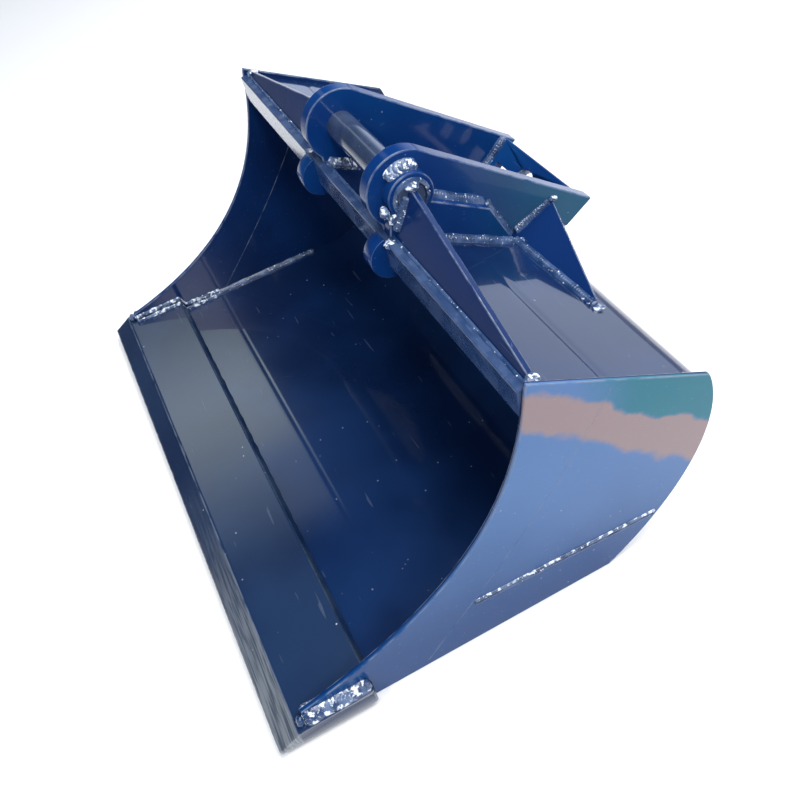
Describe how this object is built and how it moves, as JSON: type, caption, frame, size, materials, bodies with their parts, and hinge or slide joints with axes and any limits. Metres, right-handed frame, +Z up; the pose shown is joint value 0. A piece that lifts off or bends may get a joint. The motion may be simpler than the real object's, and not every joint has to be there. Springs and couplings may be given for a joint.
{
  "type": "excavator grading bucket",
  "caption": "Wide toothless excavator bucket with bevelled cutting edge, curved side plates and a welded quick-hitch carrier with shaft and lock plate.",
  "frame": {"origin": "centre of the footprint, on the ground", "axes": "+X to the operator's right along the cutting edge seen from behind the mouth, -Y out of the mouth, +Y to the hitch side, +Z up"},
  "size_m": [0.776, 0.584, 0.411],
  "materials": {
    "paint": "high-gloss navy blue enamel",
    "shaft": "thin blue-grey enamel over turned steel",
    "blade": "gloss navy enamel over mill-scale plate, ground bevel",
    "weld": "gloss navy enamel over rippled weld bead"
  },
  "bodies": {
    "root": {"shell": "paint", "side_l": "paint", "side_r": "paint", "blade": "blade", "lip_bar": "paint", "ear_l": "paint", "ear_r": "paint", "doubler_l": "paint", "doubler_r": "paint", "hook_l": "paint", "hook_r": "paint", "shaft": "shaft", "lock_plate": "paint", "gusset_front_l": "paint", "gusset_front_r": "paint", "gusset_rear_l": "paint", "gusset_rear_r": "paint", "weld_blade": "weld", "weld_floor_l": "weld", "weld_floor_r": "weld", "weld_lip_l": "weld", "weld_lip_r": "weld", "bead_side_l": "weld", "bead_side_r": "weld", "weld_shaft_l": "weld", "weld_shaft_r": "weld", "weld_ear_l": "weld", "weld_ear_r": "weld", "weld_doubler_l": "weld", "weld_doubler_r": "weld", "weld_base_l": "weld", "weld_base_r": "weld", "weld_front_l": "weld", "weld_front_r": "weld", "weld_rear_l": "weld", "weld_rear_r": "weld", "weld_bar": "weld", "weld_lock_l": "weld", "weld_lock_r": "weld"}
  },
  "joints": []
}
